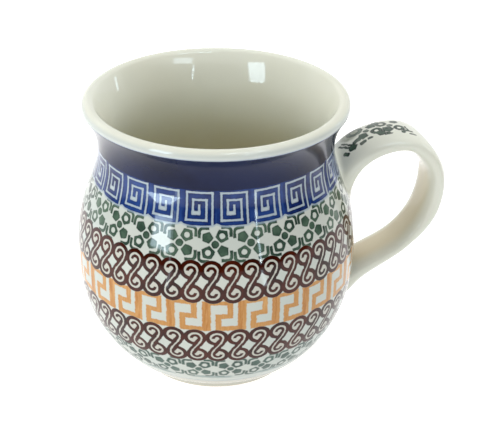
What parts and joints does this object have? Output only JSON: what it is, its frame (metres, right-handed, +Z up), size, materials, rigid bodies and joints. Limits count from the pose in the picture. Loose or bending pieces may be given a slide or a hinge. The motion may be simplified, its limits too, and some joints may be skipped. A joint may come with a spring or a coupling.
{
  "type": "stoneware mug",
  "caption": "Round-bellied stoneware mug with a flared collar, a strap handle and stamped ornament bands under clear glaze.",
  "frame": {"origin": "centre of the foot ring's standing face, on the mug's axis", "axes": "+Z up along the mug's axis, +X towards the handle, +Y to the right of +Z and +X by the right-hand rule"},
  "size_m": [0.1248, 0.093, 0.0955],
  "materials": {
    "bare_stoneware": "unglazed fired stoneware, fine sandy matt",
    "joining_slip": "fired slip, matt",
    "cream_glaze": "clear gloss glaze over cream stoneware",
    "cobalt_glaze": "solid cobalt colour under clear gloss glaze",
    "blue_key_glaze": "blue stamped square keys left in cream, under clear gloss glaze",
    "green_rosette_glaze": "green stamped rosettes on cream, under clear gloss glaze",
    "brown_scroll_glaze": "brown stamped scrolls on cream, under clear gloss glaze",
    "ochre_meander_glaze": "ochre stamped meander round cream figures, under clear gloss glaze",
    "handle_glaze": "clear gloss glaze over cream stoneware, green stamps along the top"
  },
  "bodies": {
    "root": {"stoneware_body": "bare_stoneware", "handle": "bare_stoneware", "upper_slip_joint": "joining_slip", "lower_slip_joint": "joining_slip", "inner_glaze": "cream_glaze", "cobalt_band": "cobalt_glaze", "key_band": "blue_key_glaze", "upper_rosette_band": "green_rosette_glaze", "upper_scroll_band": "brown_scroll_glaze", "meander_band": "ochre_meander_glaze", "lower_scroll_band": "brown_scroll_glaze", "lower_rosette_band": "green_rosette_glaze", "foot_glaze": "cream_glaze", "base_glaze": "cream_glaze", "handle_glaze": "handle_glaze"}
  },
  "joints": []
}
